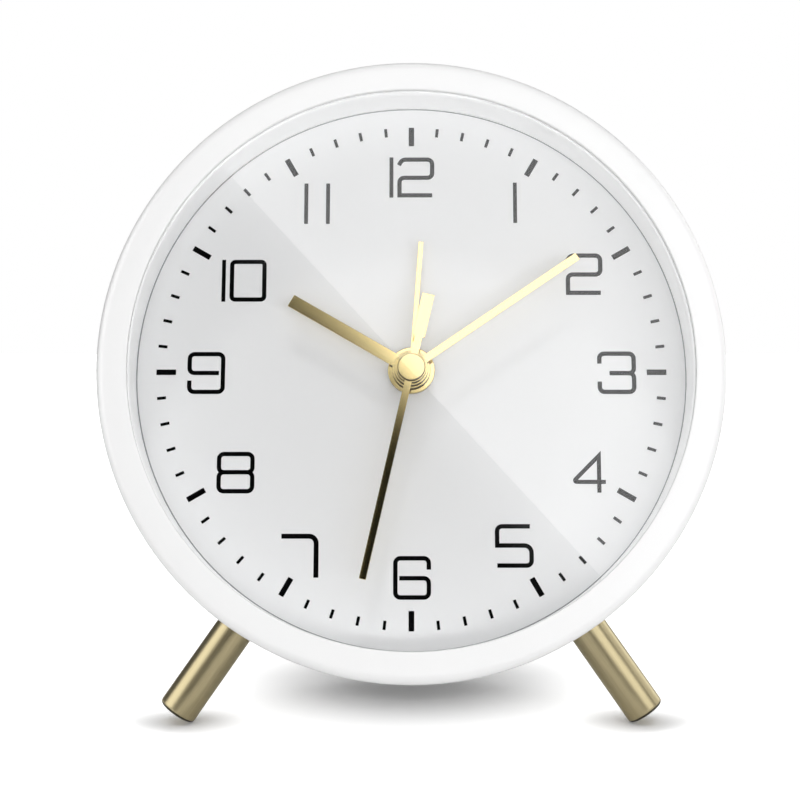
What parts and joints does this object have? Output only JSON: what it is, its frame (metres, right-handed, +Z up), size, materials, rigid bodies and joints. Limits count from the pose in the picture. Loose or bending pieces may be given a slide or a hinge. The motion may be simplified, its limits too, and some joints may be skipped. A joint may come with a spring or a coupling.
{
  "type": "analogue alarm clock",
  "caption": "Round analogue alarm clock on splayed brass legs: white drum case, numbered dial under flat glass, gold bar hands, quartz movement, setting knobs and battery door behind.",
  "frame": {"origin": "centre of the bounding box in plan, on the surface that the clock stands on", "axes": "+Z up, -Y towards the reader, +X to the reader's right; the dial leans back from vertical"},
  "size_m": [0.12, 0.0742, 0.1297],
  "materials": {
    "case_white": "smooth white moulded plastic, satin gloss",
    "lens_glass": "clear flat glass, polished",
    "ring_white": "white moulded plastic, fine satin",
    "dial_white": "satin silver white print with black figures",
    "carrier_plastic": "moulded white plastic",
    "leg_brass": "lengthwise brushed antique brass",
    "screw_steel": "zinc plated steel",
    "foot_rubber": "translucent white silicone rubber",
    "movement_plastic": "moulded white plastic",
    "motor_iron": "soft iron laminate",
    "coil_copper": "enamelled copper wire",
    "board_green": "green printed circuit board",
    "crystal_can": "drawn metal can",
    "cover_white": "fine spark eroded white plastic",
    "cell_sleeve": "plain printed sleeve",
    "contact_nickel": "nickel plated spring steel",
    "sounder_black": "black moulded plastic",
    "arbor_steel": "turned steel",
    "wheel_plastic": "acetal",
    "hand_gold": "lengthwise brushed gold",
    "magnet_dark": "sintered magnet",
    "knob_white": "moulded white plastic"
  },
  "bodies": {
    "clock_body": {"case": "case_white", "lens": "lens_glass", "inner_ring": "ring_white", "dial": "dial_white", "dial_carrier": "carrier_plastic", "leg_left": "leg_brass", "leg_right": "leg_brass", "leg_screws": "screw_steel", "rear_foot": "foot_rubber", "movement_front_plate": "movement_plastic", "movement_middle_plate": "movement_plastic", "movement_case": "movement_plastic", "movement_screws": "screw_steel", "stator": "motor_iron", "coil_core": "motor_iron", "coil": "coil_copper", "circuit_board": "board_green", "quartz_crystal": "crystal_can", "back_cover": "cover_white", "cover_screws": "screw_steel", "battery_cell": "cell_sleeve", "battery_contact_plus": "contact_nickel", "battery_contact_spring": "contact_nickel", "sounder": "sounder_black"},
    "second_hand_group": {"second_arbor": "arbor_steel", "second_wheel": "wheel_plastic", "second_hand": "hand_gold", "second_hand_cap": "hand_gold"},
    "step_wheel_group": {"step_wheel": "wheel_plastic"},
    "rotor_group": {"rotor_pinion": "wheel_plastic", "rotor_magnet": "magnet_dark"},
    "third_wheel_group": {"third_wheel": "wheel_plastic"},
    "centre_wheel_group": {"centre_wheel": "wheel_plastic", "slip_washer": "contact_nickel"},
    "minute_hand_group": {"cannon_pinion": "wheel_plastic", "minute_hand": "hand_gold"},
    "motion_wheel_group": {"motion_wheel": "wheel_plastic"},
    "hour_hand_group": {"hour_wheel": "wheel_plastic", "hour_hand": "hand_gold"},
    "time_setting_group": {"time_arbor": "wheel_plastic", "time_knob": "knob_white"},
    "alarm_hand_group": {"alarm_wheel": "wheel_plastic", "alarm_hand": "hand_gold"},
    "alarm_setting_group": {"alarm_arbor": "wheel_plastic", "alarm_knob": "knob_white"},
    "switch_group": {"alarm_switch": "knob_white"},
    "lid_group": {"battery_lid": "cover_white"}
  },
  "joints": [
    {"name": "second_hand_turn", "type": "hinge", "parent": "clock_body", "child": "second_hand_group", "pos_m": [0, -0.01258, 0.06869], "axis": [0, -0.9794, 0.2021], "continuous": true},
    {"name": "step_wheel_turn", "type": "hinge", "parent": "clock_body", "child": "step_wheel_group", "pos_m": [0, -0.01045, 0.07897], "axis": [0, -0.9794, 0.2021], "continuous": true},
    {"name": "rotor_turn", "type": "hinge", "parent": "clock_body", "child": "rotor_group", "pos_m": [0.00737, -0.00941, 0.08403], "axis": [0, -0.9794, 0.2021], "continuous": true},
    {"name": "third_wheel_turn", "type": "hinge", "parent": "clock_body", "child": "third_wheel_group", "pos_m": [0, -0.01515, 0.0562], "axis": [0, -0.9794, 0.2021], "continuous": true},
    {"name": "centre_wheel_turn", "type": "hinge", "parent": "clock_body", "child": "centre_wheel_group", "pos_m": [0, -0.01258, 0.06869], "axis": [0, -0.9794, 0.2021], "continuous": true},
    {"name": "minute_hand_turn", "type": "hinge", "parent": "clock_body", "child": "minute_hand_group", "pos_m": [0, -0.01258, 0.06869], "axis": [0, -0.9794, 0.2021], "continuous": true},
    {"name": "motion_wheel_turn", "type": "hinge", "parent": "clock_body", "child": "motion_wheel_group", "pos_m": [-0.00326, -0.01067, 0.07795], "axis": [0, -0.9794, 0.2021], "continuous": true},
    {"name": "hour_hand_turn", "type": "hinge", "parent": "clock_body", "child": "hour_hand_group", "pos_m": [0, -0.01258, 0.06869], "axis": [0, -0.9794, 0.2021], "continuous": true},
    {"name": "time_knob_turn", "type": "hinge", "parent": "clock_body", "child": "time_setting_group", "pos_m": [-0.01265, -0.01136, 0.07457], "axis": [0, -0.9794, 0.2021], "continuous": true},
    {"name": "alarm_hand_turn", "type": "hinge", "parent": "clock_body", "child": "alarm_hand_group", "pos_m": [0, -0.01258, 0.06869], "axis": [0, -0.9794, 0.2021], "continuous": true},
    {"name": "alarm_knob_turn", "type": "hinge", "parent": "clock_body", "child": "alarm_setting_group", "pos_m": [0.01265, -0.01136, 0.07457], "axis": [0, -0.9794, 0.2021], "continuous": true},
    {"name": "alarm_switch_slide", "type": "slide", "parent": "clock_body", "child": "switch_group", "axis": [0, 0.2021, 0.9794], "range_m": [0, 0.004]},
    {"name": "battery_lid_hinge", "type": "hinge", "parent": "clock_body", "child": "lid_group", "pos_m": [0, 0.01715, 0.02544], "axis": [-1, 0, 0], "range_deg": [0, 90]}
  ],
  "couplings": [
    {"joint": "step_wheel_turn", "follows": "second_hand_turn", "ratio": -6},
    {"joint": "rotor_turn", "follows": "second_hand_turn", "ratio": 30},
    {"joint": "third_wheel_turn", "follows": "second_hand_turn", "ratio": -0.13333},
    {"joint": "centre_wheel_turn", "follows": "second_hand_turn", "ratio": 0.016667},
    {"joint": "motion_wheel_turn", "follows": "minute_hand_turn", "ratio": -0.33333},
    {"joint": "hour_hand_turn", "follows": "minute_hand_turn", "ratio": 0.083333},
    {"joint": "time_knob_turn", "follows": "minute_hand_turn", "ratio": 1},
    {"joint": "alarm_knob_turn", "follows": "alarm_hand_turn", "ratio": -1.3333}
  ]
}
